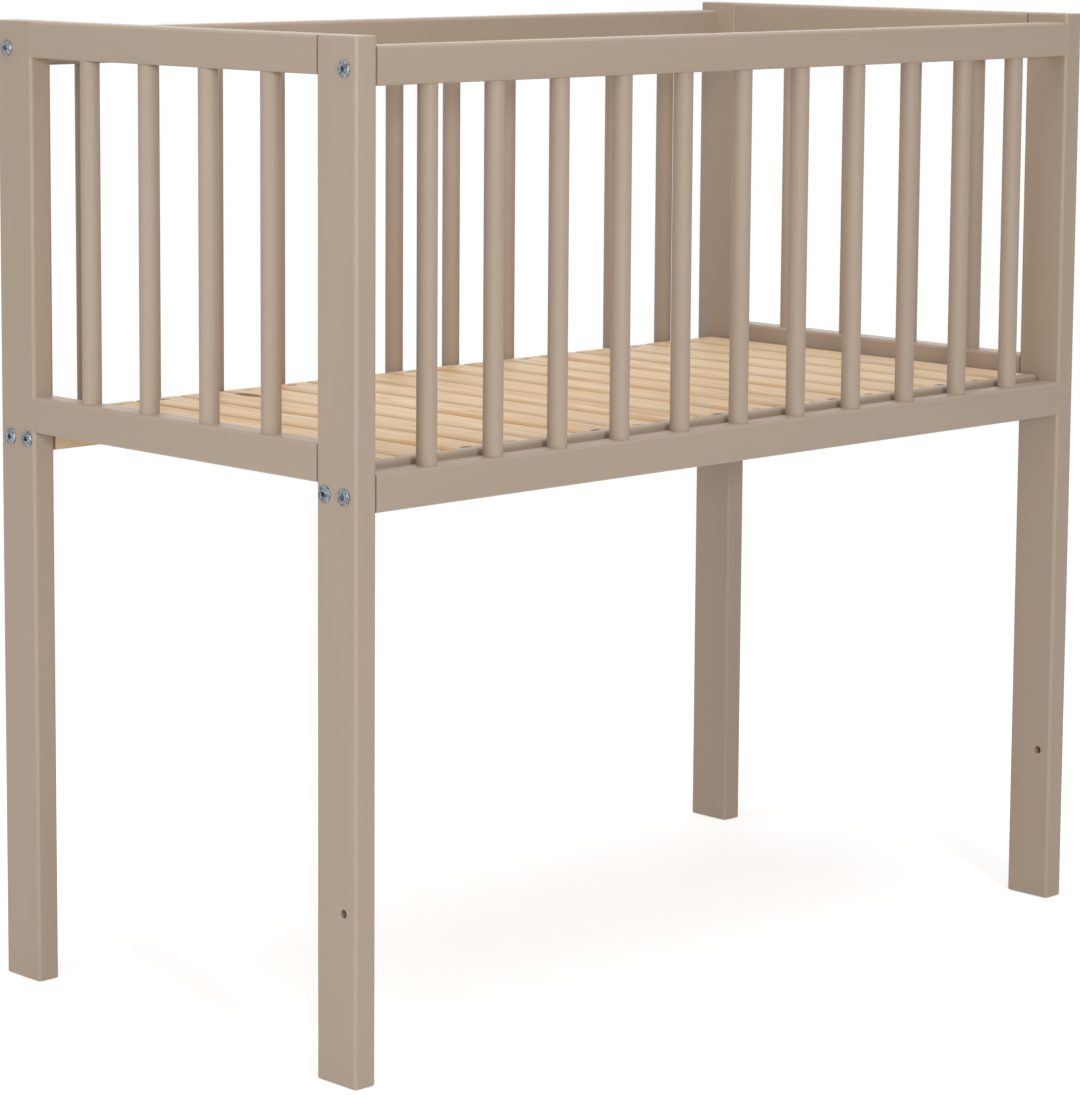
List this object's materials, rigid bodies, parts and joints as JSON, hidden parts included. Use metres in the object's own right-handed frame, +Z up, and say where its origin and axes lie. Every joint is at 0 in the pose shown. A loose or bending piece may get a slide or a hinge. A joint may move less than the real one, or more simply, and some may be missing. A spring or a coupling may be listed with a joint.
{
  "type": "bedside sleeper crib",
  "caption": "Bedside sleeper crib: a tall lacquered wooden crib on straight legs, with round spindles on every side and a slatted pine base, bolted together.",
  "frame": {"origin": "on the floor, below the middle of the crib", "axes": "+X along the length to the right, +Y across the width towards the rear side, +Z up; the removable front side is at -Y"},
  "size_m": [0.8636, 0.442, 0.8],
  "materials": {
    "taupe_lacquer": "opaque taupe lacquer on solid wood, satin",
    "natural_pine": "planed pine, unfinished",
    "beech": "fluted beech dowel, raw",
    "zinc_plated_steel": "bright zinc plated, semi-gloss",
    "staple_wire": "galvanised wire, dull"
  },
  "bodies": {
    "root": {"left_front_post": "taupe_lacquer", "left_rear_post": "taupe_lacquer", "right_front_post": "taupe_lacquer", "right_rear_post": "taupe_lacquer", "left_end_top_rail": "taupe_lacquer", "left_end_bottom_rail": "taupe_lacquer", "right_end_top_rail": "taupe_lacquer", "right_end_bottom_rail": "taupe_lacquer", "front_top_rail": "taupe_lacquer", "front_bottom_rail": "taupe_lacquer", "rear_top_rail": "taupe_lacquer", "rear_bottom_rail": "taupe_lacquer", "base_front_rail": "taupe_lacquer", "front_spindle_01": "taupe_lacquer", "front_spindle_02": "taupe_lacquer", "front_spindle_03": "taupe_lacquer", "front_spindle_04": "taupe_lacquer", "front_spindle_05": "taupe_lacquer", "front_spindle_06": "taupe_lacquer", "front_spindle_07": "taupe_lacquer", "front_spindle_08": "taupe_lacquer", "front_spindle_09": "taupe_lacquer", "front_spindle_10": "taupe_lacquer", "front_spindle_11": "taupe_lacquer", "left_end_spindle_1": "taupe_lacquer", "left_end_spindle_2": "taupe_lacquer", "left_end_spindle_3": "taupe_lacquer", "left_end_spindle_4": "taupe_lacquer", "right_end_spindle_1": "taupe_lacquer", "right_end_spindle_2": "taupe_lacquer", "right_end_spindle_3": "taupe_lacquer", "right_end_spindle_4": "taupe_lacquer", "rear_side_spindles": "taupe_lacquer", "base_rear_rail": "natural_pine", "slat_01": "natural_pine", "slat_02": "natural_pine", "slat_03": "natural_pine", "slat_04": "natural_pine", "slat_05": "natural_pine", "slat_06": "natural_pine", "slat_07": "natural_pine", "slat_08": "natural_pine", "slat_09": "natural_pine", "slat_10": "natural_pine", "slat_11": "natural_pine", "slat_12": "natural_pine", "slat_13": "natural_pine", "slat_14": "natural_pine", "slat_15": "natural_pine", "slat_16": "natural_pine", "slat_17": "natural_pine", "left_end_dowels": "beech", "right_end_dowels": "beech", "side_panel_bolts": "zinc_plated_steel", "base_bolts": "zinc_plated_steel", "side_panel_barrel_nuts": "zinc_plated_steel", "base_barrel_nuts": "zinc_plated_steel", "slat_staples": "staple_wire"}
  },
  "joints": []
}
